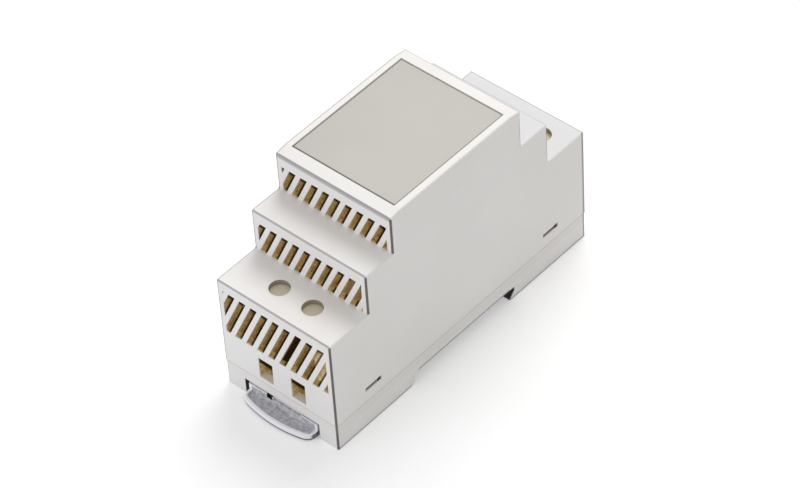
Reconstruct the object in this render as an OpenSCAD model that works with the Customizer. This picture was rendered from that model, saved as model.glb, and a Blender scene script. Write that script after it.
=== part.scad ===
// Modular housing for a 35 mm mounting rail, two modules wide, with vented
// stepped ends, an inset front panel and a sprung rail clip.
// Millimetres. +X runs along the rail, +Y from the clip end to the fixed
// hook, +Z away from the rail. The origin is the middle of the rail seat.

/* [Housing] */
// Width of one module
module_w = 17.5; // [17:0.1:18]
// Number of modules side by side
module_count = 2; // [2:1:4]
// Length from end face to end face
body_l = 90; // [87:0.5:96]
// Height from the feet to the top face
body_h = 58; // [55:0.5:62]
// Length of the raised top
top_l = 45; // [44:0.5:47]
// Depth of the upper step
step1_d = 9.3; // [8.5:0.1:10]
// Height of the upper riser
riser1_h = 11.5; // [11:0.1:13]
// Height of the middle riser
riser2_h = 12.1; // [11:0.1:13]
// Height of the joint between base and cover, above the feet
joint_z = 7.8; // [7.4:0.1:8.6]
// Radius on the outer edges
edge_r = 0.5; // [0.3:0.1:0.8]

/* [Walls] */
// Side walls
side_t = 1.6; // [1.4:0.1:1.8]
// Vented end walls
end_t = 2; // [1.8:0.1:2.4]
// Treads of the steps
tread_t = 1.8; // [1.6:0.1:2.2]
// Floors of the base
floor_t = 1.6; // [1.4:0.1:1.8]
// Set-back of the base behind the cover, which shows the joint as a line
base_inset = 0.12; // [0.08:0.02:0.2]
// Running clearance between the cover and what stands inside it
seat_gap = 0.1; // [0.05:0.05:0.15]

/* [Vents] */
// Spacing of the slots
vent_pitch = 3.45; // [3.2:0.05:3.8]
// Width of a slot, measured level
vent_w = 2; // [1.6:0.1:2.2]
// Lean of the slots from upright, in degrees
vent_lean = 25; // [18:0.2:28]
// Plain margin beside each row
vent_margin = 1.6; // [1.4:0.1:2.6]
// Plain band above the upper row
vent1_band = 4.1; // [3.8:0.1:4.6]
// Plain band above the middle row
vent2_band = 3.3; // [2.8:0.1:4]
// Plain band above the lower row
vent3_band = 2.9; // [2.4:0.1:3.6]
// Height of the lower row
vent3_h = 13.3; // [11.5:0.1:14]
// Depth of the slots that an inner web backs
blind_d = 1; // [0.8:0.1:1.2]

/* [Terminal places] */
// Spacing of the screw places and wire windows
term_pitch = 10.16; // [9.6:0.02:10.6]
// Screw places at the clip end
near_terms = 2; // [1:1:2]
// Screw places at the hook end
far_terms = 3; // [1:1:3]
// Sideways offset of the clip end's places
near_shift = 1; // [0:0.1:1.4]
// Diameter of a screw place
knock_d = 5.2; // [4.6:0.1:5.6]
// Distance of the screw places from the end face
knock_in = 7; // [6:0.1:8]
// Film left under a screw place
knock_film = 0.5; // [0.4:0.05:0.7]
// Width of a wire window
window_w = 4.4; // [4.2:0.1:5]
// Height of a wire window
window_h = 6.4; // [5.6:0.1:6.6]
// Height of the window sills above the joint
sill_up = 1.4; // [1.3:0.1:2]

/* [Front panel] */
// Side strips of the top frame
frame_side = 1.9; // [1.8:0.1:2.4]
// End strips of the top frame
frame_end = 3.5; // [3.2:0.1:4]
// Fall of the end strips to the upper risers
frame_fall = 0.6; // [0.3:0.05:1.2]
// Thickness of the panel
panel_t = 1.5; // [1.2:0.1:1.8]
// Depth of the panel's face below the frame
panel_sunk = 0.25; // [0.15:0.05:0.4]
// Gap round the panel
panel_gap = 0.15; // [0.1:0.05:0.25]
// Width and thickness of the ledge under the panel
ledge = 1.4; // [1.2:0.1:1.6]

/* [Rail] */
// Width of the rail over its flanges
rail_w = 35; // [35:0.1:35.3]
// Thickness of the rail's flanges
flange_t = 1; // [1:0.1:1.1]
// Height of the rail seat above the feet
seat_z = 3.4; // [3.2:0.1:3.8]
// Distance of the rail's middle from the housing's middle, towards the hook
rail_shift = 0.7; // [0.4:0.1:1]
// Reach of the hook's tip under the flange
hook_reach = 1.8; // [1.4:0.1:2]
// Gap between the rail and what it passes
rail_gap = 0.1; // [0.1:0.05:0.2]
// Gap between the rail's edge and the clip end's foot
foot_gap = 1.2; // [1:0.1:1.5]
// Radius on the foot's inner edge
foot_r = 1.8; // [1.2:0.1:2]

/* [Rail clip] */
// Width of the clip's way through the base
way_w = 23.4; // [22.6:0.1:24]
// Height of the clip's way
way_h = 4.9; // [4.8:0.05:5.1]
// Clearance of the clip in its way
clip_gap = 0.15; // [0.1:0.05:0.2]
// Outward travel of the clip
clip_travel = 3.2; // [3:0.1:3.5]
// Reach of the clip's nose under the flange
nose_reach = 1.5; // [1.3:0.1:1.8]
// Greatest reach of the pull tab beyond the end face
tab_out = 3.9; // [3.4:0.1:4.5]
// Width of the pull tab
tab_w = 21.6; // [20:0.1:22]
// Bow of the pull tab's front
tab_bow = 1.7; // [1:0.1:2]
// Height of the pull tab's lip above the feet
lip_z = 1.8; // [1.6:0.1:2.4]
// Thickness of the lip
lip_t = 0.9; // [0.8:0.1:1.3]
// Thickness of the clip's plate
plate_t = 1.5; // [1.3:0.1:1.6]
// Wire of the spring
wire_d = 0.45; // [0.4:0.05:0.5]
// Mean diameter of the spring
coil_d = 2.7; // [2.4:0.1:2.8]
// Length of the spring at rest
spring_l = 10.4; // [9.5:0.1:11]
// Turns of the spring
coil_turns = 9; // [7:1:10]

/* [Latches and board posts] */
// Distance of the latch slits from the end faces
slit_in = 10.5; // [10:0.1:12]
// Length of a latch slit
slit_l = 5.2; // [4.8:0.1:6]
// Height of a latch slit
slit_h = 0.7; // [0.6:0.05:0.9]
// Height of the latch slits above the feet
slit_z = 11.8; // [11.4:0.1:12.4]
// Diameter of the probe hole at the slit's end
probe_d = 1.3; // [1:0.1:1.5]
// Thickness of a latch tongue
tongue_t = 1.2; // [1:0.1:1.4]
// Spacing of the board posts across the housing
post_x = 27.2; // [27:0.1:27.6]
// Spacing of the board posts along the housing
post_y = 48; // [46:0.5:50]
// Diameter of a board post
post_d = 4.6; // [4.4:0.1:4.8]
// Diameter of the pilot bore in a post
pilot_d = 2.2; // [2:0.1:2.4]
// Depth of the pilot bore
pilot_l = 5; // [4:0.5:5.5]

/* [Hidden] */
$fn = 48;
cut = 0.01;
body_w = module_w * module_count;
half_w = body_w / 2;
half_l = body_l / 2;
top_y = top_l / 2;
mid_y = top_y + step1_d;
step1_z = body_h - riser1_h;
step2_z = step1_z - riser2_h;
flat_y = top_y - frame_end;
frame_z = body_h - frame_fall;
// Ceiling under the top frame
ceiling_z = body_h - panel_sunk - panel_t - ledge;
panel_w = body_w - 2 * frame_side;
panel_l = top_l - 2 * frame_end;
panel_z = body_h - panel_sunk - panel_t;
lean = tan(vent_lean);
vent_half = half_w - vent_margin;
// Edges of the rail
rail_far = rail_shift + rail_w / 2;
rail_near = rail_shift - rail_w / 2;
hook_y = rail_far + rail_gap;
hook_tip_y = hook_y - hook_reach;
foot_y = rail_near - foot_gap;
flange_z = seat_z - flange_t - rail_gap;
nose_y = rail_near + nose_reach;
way_y = way_w / 2;
base_w = body_w - 2 * base_inset;
base_l = body_l - 2 * base_inset;
// Upper left corner of the slot that places each row
vent1_x = -3.9 * vent_pitch;
vent2_x = -3.4 * vent_pitch;
vent3_x = -4.05 * vent_pitch;
// Corner web behind the lower row, and how far above the slots' feet it starts
web_w = 4.6;
web_up = 1.2;
// Upright rib behind the lower row: distance from the side wall, thickness, depth and height
back_rib_in = 4.2;
back_rib_t = 1.1;
back_rib_d = 2.2;
back_rib_h = 9;
// Hooks of the front panel, with the reach and height of their barbs
hook_w = 5;
hook_t = 1.2;
hook_barb = 0.7;
hook_barb_h = 1;
// Rim of the base inside the cover, its drop below the window sills, and the faces inside
rim_t = 0.8;
rim_drop = 0.2;
rim_up = sill_up - rim_drop;
in_x = half_w - side_t - seat_gap - rim_t;
in_y = half_l - end_t - seat_gap - rim_t;
hook_tip_t = 0.2;
// Height of a latch tongue above its slit, and the bevel at its top
tongue_up = 0.9;
tongue_bevel = 0.3;
// Top of the board posts, just below the joint
board_drop = 0.2;
board_z = joint_z - board_drop;
// Underside of the clip, of its plate, and top of the wall behind its pocket
clip_z = 0.2;
plate_z = 1.15;
wall_z = 3.8;
pocket_t = 1;
// Depth of the clip's front block behind the end face, and set-back of the pocket's rear wall
body_d = 3.5;
wall_in = 0.3;
lap = 0.2;
tab_r = 2;
// Notch in the top of the front block, the low step beside it, and a pin mark below
notch_x = -4.2;
notch_w = 1.6;
notch_h = 1;
notch_l = 1.2;
step_x = -2.9;
step_w = 8.6;
step_cut = 0.4;
mark_x = -6.2;
mark_z = 2.4;
mark_d = 0.9;
mark_l = 0.3;
// Neck between the front block and the plate, narrower than the tab by this on each side
neck_in = 1;
// Ledges that carry the clip, just behind the front block, and the clip's slides on them
ledge_w = 1.3;
ledge_in = 0.5;
ledge_z = plate_z - clip_gap;
ledge_y = -half_l + body_d + ledge_in;
slide_in = 1;
slide_y = ledge_y + slide_in;
slide_t = 1.2;
// Nose: thickness at its tip, and the bevels of its keel, underside and tip
nose_t = 0.8;
keel_bevel = 0.6;
nose_bevel = 0.4;
tip_bevel = 0.15;
// Spring, the stop of the base that it pushes from, and its window in the clip
spring_gap = 0.03;
stop_t = 1.4;
stop_w = 3;
stop_gap = 0.05;
block_t = 1.4;
block_y = foot_y - foot_r - block_t;
spring_y = block_y - spring_l - 2 * spring_gap;
stop_y = spring_y - stop_t;
spring_z = (plate_z + way_h) / 2;
win_gap = 0.3;
win_x = (coil_d + wire_d) / 2 + win_gap;
// Peg inside the spring: it meets the stop just past the end of the travel
peg_d = 1.4;
peg_gap = 0.4;
peg_l = spring_l + 2 * spring_gap - clip_travel - peg_gap;
coil_steps = 14;
wire_sides = 8;
body_color = [0.80, 0.79, 0.765];
panel_color = [0.78, 0.77, 0.745];
clip_color = [0.62, 0.62, 0.635];
steel_color = [0.70, 0.70, 0.71];

// Heights in the modules below are measured from the feet.
module from_seat() {
    translate([0, 0, -seat_z]) children();
}

// Both ends: a shape modelled at the clip end, and turned to the hook end.
module both_ends() {
    children();
    rotate([0, 0, 180]) children();
}

// Takes a Y-Z outline across the housing.
module across(width) {
    rotate([90, 0, 90]) linear_extrude(width, center = true) children();
}

// What an outer corner loses when it is rounded, in the outline's plane. The
// face before the corner falls by fall over run.
module corner_waste(y, z, r, fall = 0, run = 1) {
    len = norm([fall, run]);
    translate([y - r, z - r * (len - fall) / run]) difference() {
        polygon([[0, 0], 2 * r * [fall, run] / len, [r + cut, 2 * r], [r + cut, 0]]);
        circle(r);
    }
}

// ---------------------------------------------------------------- cover

module half_outline() {
    difference() {
        polygon([
            [0, joint_z], [half_l, joint_z], [half_l, step2_z], [mid_y, step2_z],
            [mid_y, step1_z], [top_y, step1_z], [top_y, frame_z], [flat_y, body_h], [0, body_h]
        ]);
        corner_waste(half_l, step2_z, edge_r);
        corner_waste(mid_y, step1_z, edge_r);
        corner_waste(top_y, frame_z, edge_r, frame_fall, frame_end);
    }
}

module half_hollow() {
    polygon([
        [0, joint_z - cut], [half_l - end_t, joint_z - cut], [half_l - end_t, step2_z - tread_t],
        [mid_y - end_t, step2_z - tread_t], [mid_y - end_t, step1_z - tread_t],
        [top_y - end_t, step1_z - tread_t], [top_y - end_t, ceiling_z], [0, ceiling_z]
    ]);
}

module both_halves() {
    children();
    mirror([1, 0]) children();
}

// Waste along an upright edge of the +X side.
module upright_waste(y, z0, z1) {
    translate([half_w - edge_r, y - edge_r, z0]) difference() {
        cube([edge_r + cut, edge_r + cut, z1 - z0]);
        translate([0, 0, -cut]) cylinder(r = edge_r, h = z1 - z0 + 2 * cut);
    }
}

// Waste along an edge of the +X side that starts at height z and falls by fall.
module edge_waste(z, y0, y1, fall = 0) {
    len = norm([y1 - y0, fall]);
    translate([half_w - edge_r, y0, z]) rotate([-atan2(fall, y1 - y0), 0, 0]) difference() {
        translate([0, 0, -edge_r]) cube([edge_r + cut, len, edge_r + cut]);
        translate([0, -cut, -edge_r]) rotate([-90, 0, 0]) cylinder(r = edge_r, h = len + 2 * cut);
    }
}

module quarter_edges() {
    upright_waste(half_l, joint_z - cut, step2_z);
    upright_waste(mid_y, step2_z, step1_z);
    upright_waste(top_y, step1_z, frame_z);
    edge_waste(step2_z, mid_y, half_l + cut);
    edge_waste(step1_z, top_y, mid_y + cut);
    edge_waste(body_h, -cut, flat_y);
    edge_waste(body_h, flat_y, top_y, frame_fall);
}

module all_edges() {
    for (a = [0, 1]) for (b = [0, 1]) mirror([a, 0, 0]) mirror([0, b, 0]) quarter_edges();
}

// One row of leaning slots, as an X-Z outline. x_top is one slot's upper left corner.
module vent_outline(z0, z1, x_top) {
    first = ceil((-vent_half - vent_w - x_top) / vent_pitch);
    last = floor((vent_half + lean * (z1 - z0) - x_top) / vent_pitch);
    intersection() {
        translate([-vent_half, z0]) square([2 * vent_half, z1 - z0]);
        for (k = [first : last]) {
            x = x_top + k * vent_pitch;
            foot = x - lean * (z1 - z0);
            polygon([[foot, z0], [foot + vent_w, z0], [x + vent_w, z1], [x, z1]]);
        }
    }
}

// Takes an X-Z outline into the clip end's wall whose outer face is at -y.
module into_wall(y, depth) {
    translate([0, depth - y, 0]) rotate([90, 0, 0]) linear_extrude(depth + cut) children();
}

module vents() {
    top1 = body_h - vent1_band;
    top2 = step1_z - vent2_band;
    top3 = step2_z - vent3_band;
    into_wall(top_y, end_t + cut) vent_outline(step1_z, top1, vent1_x);
    into_wall(mid_y, end_t + cut) vent_outline(step2_z, top2, vent2_x);
    into_wall(half_l, end_t + cut) difference() {
        vent_outline(top3 - vent3_h, top3, vent3_x);
        web_outline(top3);
    }
    into_wall(half_l, blind_d) intersection() {
        vent_outline(top3 - vent3_h, top3, vent3_x);
        web_outline(top3);
    }
}

// The part of the lower row that the corner web backs
module web_outline(top) {
    translate([vent_half - web_w, top - vent3_h + web_up]) square([web_w + cut, vent3_h]);
}

// Screw places in the lower tread and wire windows below them, at the clip end
module terminal_places(count, shift) {
    for (k = [0 : count - 1]) {
        x = shift + (k - (count - 1) / 2) * term_pitch;
        translate([x, knock_in - half_l, step2_z - tread_t + knock_film]) cylinder(d = knock_d, h = tread_t);
        translate([x - window_w / 2, -half_l - cut, joint_z + sill_up])
            cube([window_w, end_t + 2 * cut, window_h]);
    }
}

module slits() {
    for (y = [slit_in - half_l, half_l - slit_in - slit_l]) {
        translate([-half_w - cut, y, slit_z - slit_h / 2]) cube([body_w + 2 * cut, slit_l, slit_h]);
        translate([-half_w - cut, y + slit_l - probe_d / 2, slit_z]) rotate([0, 90, 0])
            cylinder(d = probe_d, h = body_w + 2 * cut);
    }
}

module panel_recess() {
    translate([-panel_w / 2, -panel_l / 2, panel_z]) cube([panel_w, panel_l, body_h]);
    translate([ledge - panel_w / 2, ledge - panel_l / 2, ceiling_z - cut])
        cube([panel_w - 2 * ledge, panel_l - 2 * ledge, body_h]);
}

module cover() {
    color(body_color) from_seat() difference() {
        union() {
            difference() {
                across(body_w) both_halves() half_outline();
                across(body_w - 2 * side_t) both_halves() half_hollow();
            }
            both_ends() back_rib();
        }
        all_edges();
        both_ends() vents();
        terminal_places(near_terms, near_shift);
        rotate([0, 0, 180]) terminal_places(far_terms, 0);
        slits();
        panel_recess();
    }
}

// Upright rib behind the lower row of slots
module back_rib() {
    translate([back_rib_in + side_t - half_w, end_t - half_l - cut, step2_z - tread_t - back_rib_h])
        cube([back_rib_t, back_rib_d + cut, back_rib_h + cut]);
}

// ---------------------------------------------------------- front panel

module panel_hook() {
    y = panel_l / 2 - ledge - panel_gap;
    depth = ledge + seat_gap + hook_barb_h;
    translate([-hook_w / 2, 0, panel_z]) rotate([90, 0, 90]) linear_extrude(hook_w)
        polygon([
            [y - hook_t, cut], [y, cut], [y, -ledge - seat_gap], [y + hook_barb, -ledge - seat_gap],
            [y, -depth], [y - hook_t, -depth]
        ]);
}

module front_panel() {
    color(panel_color) from_seat() {
        w = panel_w - 2 * panel_gap;
        l = panel_l - 2 * panel_gap;
        translate([-w / 2, -l / 2, panel_z]) cube([w, l, panel_t]);
        for (b = [0, 1]) mirror([0, b, 0]) for (x = [-w / 4, w / 4]) translate([x, 0, 0]) panel_hook();
    }
}

// ----------------------------------------------------------------- base

module base_outline() {
    end = base_l / 2;
    difference() {
        polygon([
            [-end, 0], [foot_y, 0], [foot_y, seat_z], [hook_y, seat_z], [hook_y, flange_z],
            [hook_tip_y, hook_tip_t], [hook_tip_y, 0], [end, 0], [end, joint_z], [-end, joint_z]
        ]);
        translate([foot_y - foot_r, foot_r]) difference() {
            translate([0, -foot_r - cut]) square(foot_r + cut);
            circle(foot_r);
        }
    }
}

// Space above a floor, from y0 to y1, with its far side at half_x
module tray_space(half_x, y0, y1, z) {
    translate([-half_x, y0, z]) cube([2 * half_x, y1 - y0, body_h]);
}

module tray_hollow() {
    roof_z = way_h + floor_t;
    tray_space(in_x, -in_y, foot_y + floor_t, roof_z);
    tray_space(in_x, foot_y + floor_t - cut, hook_y, seat_z + floor_t);
    tray_space(in_x, hook_y - cut, hook_y + floor_t, seat_z + floor_t);
    tray_space(in_x, hook_y + floor_t - cut, in_y, floor_t);
    for (a = [0, 1]) mirror([a, 0, 0]) translate([way_y + floor_t, -in_y, floor_t])
        cube([in_x - way_y - floor_t, in_y + foot_y - floor_t, body_h]);
}

// Rim that stands inside the cover
module rim() {
    translate([0, 0, joint_z - cut]) linear_extrude(rim_up + cut) difference() {
        square([2 * (in_x + rim_t), 2 * (in_y + rim_t)], center = true);
        square([2 * in_x, 2 * in_y], center = true);
    }
}

// Upright tongue whose barb holds the cover by its slit
module latch_tongue(y) {
    face = in_x + rim_t;
    tip = slit_z + slit_h / 2 + tongue_up;
    z0 = slit_z - slit_h / 2 + seat_gap;
    z1 = slit_z + slit_h / 2 - seat_gap;
    translate([0, y + slit_l - probe_d, 0]) rotate([90, 0, 0]) linear_extrude(slit_l - probe_d - seat_gap)
        polygon([
            [face - tongue_t, seat_z], [face, seat_z], [face, z0], [face + side_t / 2, z0],
            [face + side_t / 2, (z0 + z1) / 2], [face, z1], [face, tip - tongue_bevel],
            [face - tongue_bevel, tip], [face - tongue_t, tip]
        ]);
}

module latch_tongues() {
    for (a = [0, 1]) mirror([a, 0, 0]) for (y = [slit_in - half_l, half_l - slit_in - slit_l])
        latch_tongue(y);
}

module posts(d, z0, z1) {
    for (x = [-post_x / 2, post_x / 2]) for (y = [-post_y / 2, post_y / 2])
        translate([x, y, z0]) cylinder(d = d, h = z1 - z0);
}

module base_edges() {
    for (a = [0, 1]) for (b = [0, 1]) mirror([a, 0, 0]) mirror([0, b, 0])
        translate([-base_inset, -base_inset, 0]) upright_waste(half_l, -cut, joint_z + cut);
}

// The clip's way through the clip end's foot, with the ledges that carry the clip
module clip_way() {
    difference() {
        translate([-way_y, -half_l, -cut]) cube([way_w, half_l + foot_y + cut, way_h + cut]);
        for (a = [0, 1]) mirror([a, 0, 0]) translate([way_y - ledge_w, ledge_y, -2 * cut])
            cube([ledge_w + cut, foot_y - foot_r - ledge_y, ledge_z + 2 * cut]);
        translate([-stop_w / 2, stop_y, plate_z]) cube([stop_w, stop_t, way_h]);
    }
}

module base() {
    color(body_color) from_seat() difference() {
        union() {
            difference() {
                across(base_w) base_outline();
                tray_hollow();
            }
            rim();
            latch_tongues();
            posts(post_d, floor_t - cut, board_z);
        }
        posts(pilot_d, board_z - pilot_l, board_z + cut);
        clip_way();
        base_edges();
    }
}

// ------------------------------------------------------------ rail clip

// Plan of the pull tab: a bowed front with round corners, drawn in by inset
module tab_plan(inset) {
    half = tab_w / 2 - inset;
    bow_r = (pow(tab_w / 2, 2) + pow(tab_bow, 2)) / (2 * tab_bow);
    front = -half_l - tab_out + inset;
    r = tab_r - inset;
    intersection() {
        translate([0, front + bow_r - inset]) circle(bow_r - inset, $fn = 180);
        union() {
            translate([-half, front + tab_bow / 2 + r]) square([2 * half, tab_out + body_d]);
            translate([r - half, front]) square([2 * (half - r), tab_out]);
            for (x = [r - half, half - r]) translate([x, front + tab_bow / 2 + r]) circle(r);
        }
    }
}

module clip_front() {
    intersection() {
        translate([0, 0, clip_z]) union() {
            linear_extrude(pocket_t) tab_plan(0);
            linear_extrude(lip_z - clip_z) difference() {
                tab_plan(0);
                tab_plan(lip_t);
            }
        }
        translate([-tab_w, wall_in + lap - half_l - 2 * tab_out, 0]) cube([2 * tab_w, 2 * tab_out, way_h]);
    }
    translate([0, wall_in - half_l, 0]) difference() {
        translate([-tab_w / 2, 0, clip_z]) cube([tab_w, body_d - wall_in, wall_z - clip_z]);
        translate([notch_x - notch_w / 2, -cut, wall_z - notch_h])
            cube([notch_w, notch_l + cut, notch_h + cut]);
        translate([step_x, -cut, wall_z - step_cut]) cube([step_w, step_cut + cut, step_cut + cut]);
        translate([mark_x, mark_l, mark_z]) rotate([90, 0, 0]) cylinder(d = mark_d, h = mark_l + cut);
    }
}

// Y-Z outline of the nose and the keel that stiffens it
module nose_outline() {
    polygon([
        [block_y, plate_z + plate_t], [block_y, clip_z + keel_bevel], [block_y + keel_bevel, clip_z],
        [foot_y - nose_bevel, clip_z], [nose_y, flange_z - nose_t], [nose_y, flange_z - tip_bevel],
        [nose_y - tip_bevel, flange_z], [foot_y - clip_gap, flange_z],
        [foot_y - clip_gap - nose_bevel, plate_z + plate_t]
    ]);
}

module rail_clip() {
    plate_x = way_y - clip_gap;
    slide_l = foot_y - foot_r - slide_y;
    side_h = way_h - clip_gap - plate_z;
    neck_x = tab_w / 2 - neck_in;
    color(clip_color) from_seat() {
        clip_front();
        across(2 * (way_y - ledge_w - clip_gap)) nose_outline();
        difference() {
            translate([-plate_x, slide_y, plate_z]) cube([2 * plate_x, slide_l, plate_t]);
            translate([-win_x, stop_y - stop_gap, 0]) cube([2 * win_x, block_y - stop_y + stop_gap, way_h]);
        }
        translate([-neck_x, body_d - half_l - cut, plate_z])
            cube([2 * neck_x, slide_y - body_d + half_l + 2 * cut, plate_t]);
        for (a = [0, 1]) mirror([a, 0, 0]) translate([plate_x - slide_t, slide_y, plate_z])
            cube([slide_t, slide_l, side_h]);
        translate([-win_x - slide_t, block_y, plate_z]) cube([2 * (win_x + slide_t), block_t, side_h]);
        translate([0, block_y + cut, spring_z]) rotate([90, 0, 0]) cylinder(d = peg_d, h = peg_l);
    }
}

// --------------------------------------------------------------- spring

function coil_point(i, side) =
    let (
        turn = 360 * i / coil_steps,
        about = 360 * side / wire_sides,
        r = coil_d / 2 + wire_d / 2 * cos(about),
        run = spring_l - wire_d,
        y = wire_d / 2 + run * i / (coil_steps * coil_turns) + wire_d / 2 * sin(about)
    )
    [r * cos(turn), y, r * sin(turn)];

module clip_spring() {
    rings = coil_steps * coil_turns;
    points = [for (i = [0 : rings]) for (k = [0 : wire_sides - 1]) coil_point(i, k)];
    walls = [
        for (i = [0 : rings - 1]) for (k = [0 : wire_sides - 1])
            let (n = (k + 1) % wire_sides, a = i * wire_sides)
            [a + k, a + n, a + wire_sides + n, a + wire_sides + k]
    ];
    ends = [
        [for (k = [wire_sides - 1 : -1 : 0]) k],
        [for (k = [0 : wire_sides - 1]) rings * wire_sides + k]
    ];
    color(steel_color) from_seat() translate([0, spring_y + spring_gap, spring_z])
        polyhedron(points, concat(walls, ends), convexity = 10);
}

base();
cover();
front_panel();
rail_clip();
clip_spring();
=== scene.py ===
"""Looks of a modular housing for a 35 mm mounting rail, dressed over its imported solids."""

import logging
import math
from dataclasses import dataclass, field
from enum import Enum
from functools import reduce
from typing import Callable, Optional, Sequence, Union

import bmesh
import bpy
from mathutils import Matrix, Vector


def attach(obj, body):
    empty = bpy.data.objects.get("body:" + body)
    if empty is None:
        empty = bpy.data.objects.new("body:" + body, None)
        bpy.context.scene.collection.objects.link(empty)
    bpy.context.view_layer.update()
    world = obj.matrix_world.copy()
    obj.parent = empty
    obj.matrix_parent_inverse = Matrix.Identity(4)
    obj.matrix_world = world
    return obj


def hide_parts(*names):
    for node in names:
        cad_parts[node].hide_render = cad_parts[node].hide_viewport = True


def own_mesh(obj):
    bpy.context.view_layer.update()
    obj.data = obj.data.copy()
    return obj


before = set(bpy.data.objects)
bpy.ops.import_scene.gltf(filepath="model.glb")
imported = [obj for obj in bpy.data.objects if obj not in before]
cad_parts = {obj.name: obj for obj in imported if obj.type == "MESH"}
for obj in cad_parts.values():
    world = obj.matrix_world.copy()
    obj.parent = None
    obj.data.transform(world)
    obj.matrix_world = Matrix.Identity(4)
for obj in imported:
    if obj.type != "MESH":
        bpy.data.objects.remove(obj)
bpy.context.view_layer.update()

log = logging.getLogger("rail_housing")

MM = 0.001
MERGE = 0.012  # millimetres between points that count as one
SMOOTH = 32.0  # degrees between faces that still shade as one
Socket = bpy.types.NodeSocket
Value = Union[float, Socket]
Colour = tuple[float, float, float]
Pair = tuple[float, float]
Point = tuple[float, float, float]
Triple = tuple[Socket, Socket, Socket]
Test = Callable[[Vector, Vector], bool]


def linear(red: int, green: int, blue: int) -> Colour:
    """Gives the scene-linear colour of an 8-bit display colour."""
    shares = (red / 255, green / 255, blue / 255)
    return tuple(s / 12.92 if s <= 0.04045 else ((s + 0.055) / 1.055) ** 2.4 for s in shares)


class Body(Enum):
    """The rigid bodies of the part."""

    HOUSING = "housing"
    CLIP = "clip"


class Slot(Enum):
    """The material slots that the record names."""

    HOUSING = "housing_plastic"
    PANEL = "panel_plastic"
    CLIP = "clip_plastic"
    STEEL = "spring_steel"


@dataclass(frozen=True)
class VentWall:
    """One slotted end wall. Sizes in metres.

    Attributes:
        reach: How far it stands from the middle of the housing.
        foot: The height of the slots' lower ends, as top is of their heads.
        start: Where a slot starts across, brought down its lean to height 0.
        unlit: The middle of the one slot that opens on an unlit corner.
        window: The height of the wire windows' heads.
    """

    reach: float
    foot: float
    top: float
    start: float
    unlit: Optional[float] = None
    window: Optional[float] = None


@dataclass(frozen=True)
class HousingSizes:
    """Sizes of the housing in metres, with heights above the rail seat.

    Attributes:
        mid_y: Reach of the middle step.
        flat_y: Where the top starts to fall.
        gap_x: Half the width of the panel's recess, with gap_y along and gap_z its floor.
        slit_y: Middle of a latch slit, with slit_l and slit_h for half its size.
        deck_z: The height over which the inside gets painted warm shade and a painted glow.
        vent_lean: How far a slot leans for each metre up.
        light: The main camera's place, from which the painted shade behind the slots is traced.
    """

    half_w: float = 17.5 * MM
    half_l: float = 45.0 * MM
    mid_y: float = 31.8 * MM
    top_y: float = 22.5 * MM
    feet_z: float = -3.4 * MM
    joint_z: float = 4.4 * MM
    step2_z: float = 31.0 * MM
    step1_z: float = 43.1 * MM
    top_z: float = 54.6 * MM
    flat_y: float = 19.0 * MM
    fall: float = 0.6 * MM
    inner_x: float = 15.9 * MM
    knock_in: float = 7.0 * MM
    knock_r: float = 2.6 * MM
    knock_pitch: float = 10.16 * MM
    near_shift: float = 1.0 * MM
    gap_x: float = 15.62 * MM
    gap_y: float = 19.02 * MM
    gap_z: float = 52.7 * MM
    slit_y: float = 31.9 * MM
    slit_z: float = 8.4 * MM
    slit_l: float = 2.6 * MM
    slit_h: float = 0.35 * MM
    way_x: float = 11.7 * MM
    way_y: float = -18.0 * MM
    way_z: float = 1.5 * MM
    seat_y: float = 16.5 * MM
    hook_x: float = 17.2 * MM
    hook_y: float = 18.0 * MM
    sill_z: float = 5.8 * MM
    deck_z: float = 1.75 * MM
    vent_walls: tuple[VentWall, ...] = (
        VentWall(22.5 * MM, 43.1 * MM, 50.5 * MM, 0.95 * MM),
        VentWall(31.8 * MM, 31.0 * MM, 39.8 * MM, 0.76 * MM),
        VentWall(45.0 * MM, 14.8 * MM, 28.1 * MM, 0.53 * MM, unlit=-5.9 * MM, window=12.2 * MM),
    )
    vent_lean: float = 0.466
    vent_w: float = 2.0 * MM
    vent_pitch: float = 3.45 * MM
    light: Point = (425.3 * MM, -440.7 * MM, 628.1 * MM)

    def knock_places(self) -> list[Pair]:
        """Gives the X and Y of each closed screw place.

        Returns:
            One pair for each place, the two at the clip end first.
        """
        y = self.half_l - self.knock_in
        near = [(self.near_shift + k * self.knock_pitch, -y) for k in (-0.5, 0.5)]
        return near + [(k * self.knock_pitch, y) for k in (-1, 0, 1)]


SIZES = HousingSizes()


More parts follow.
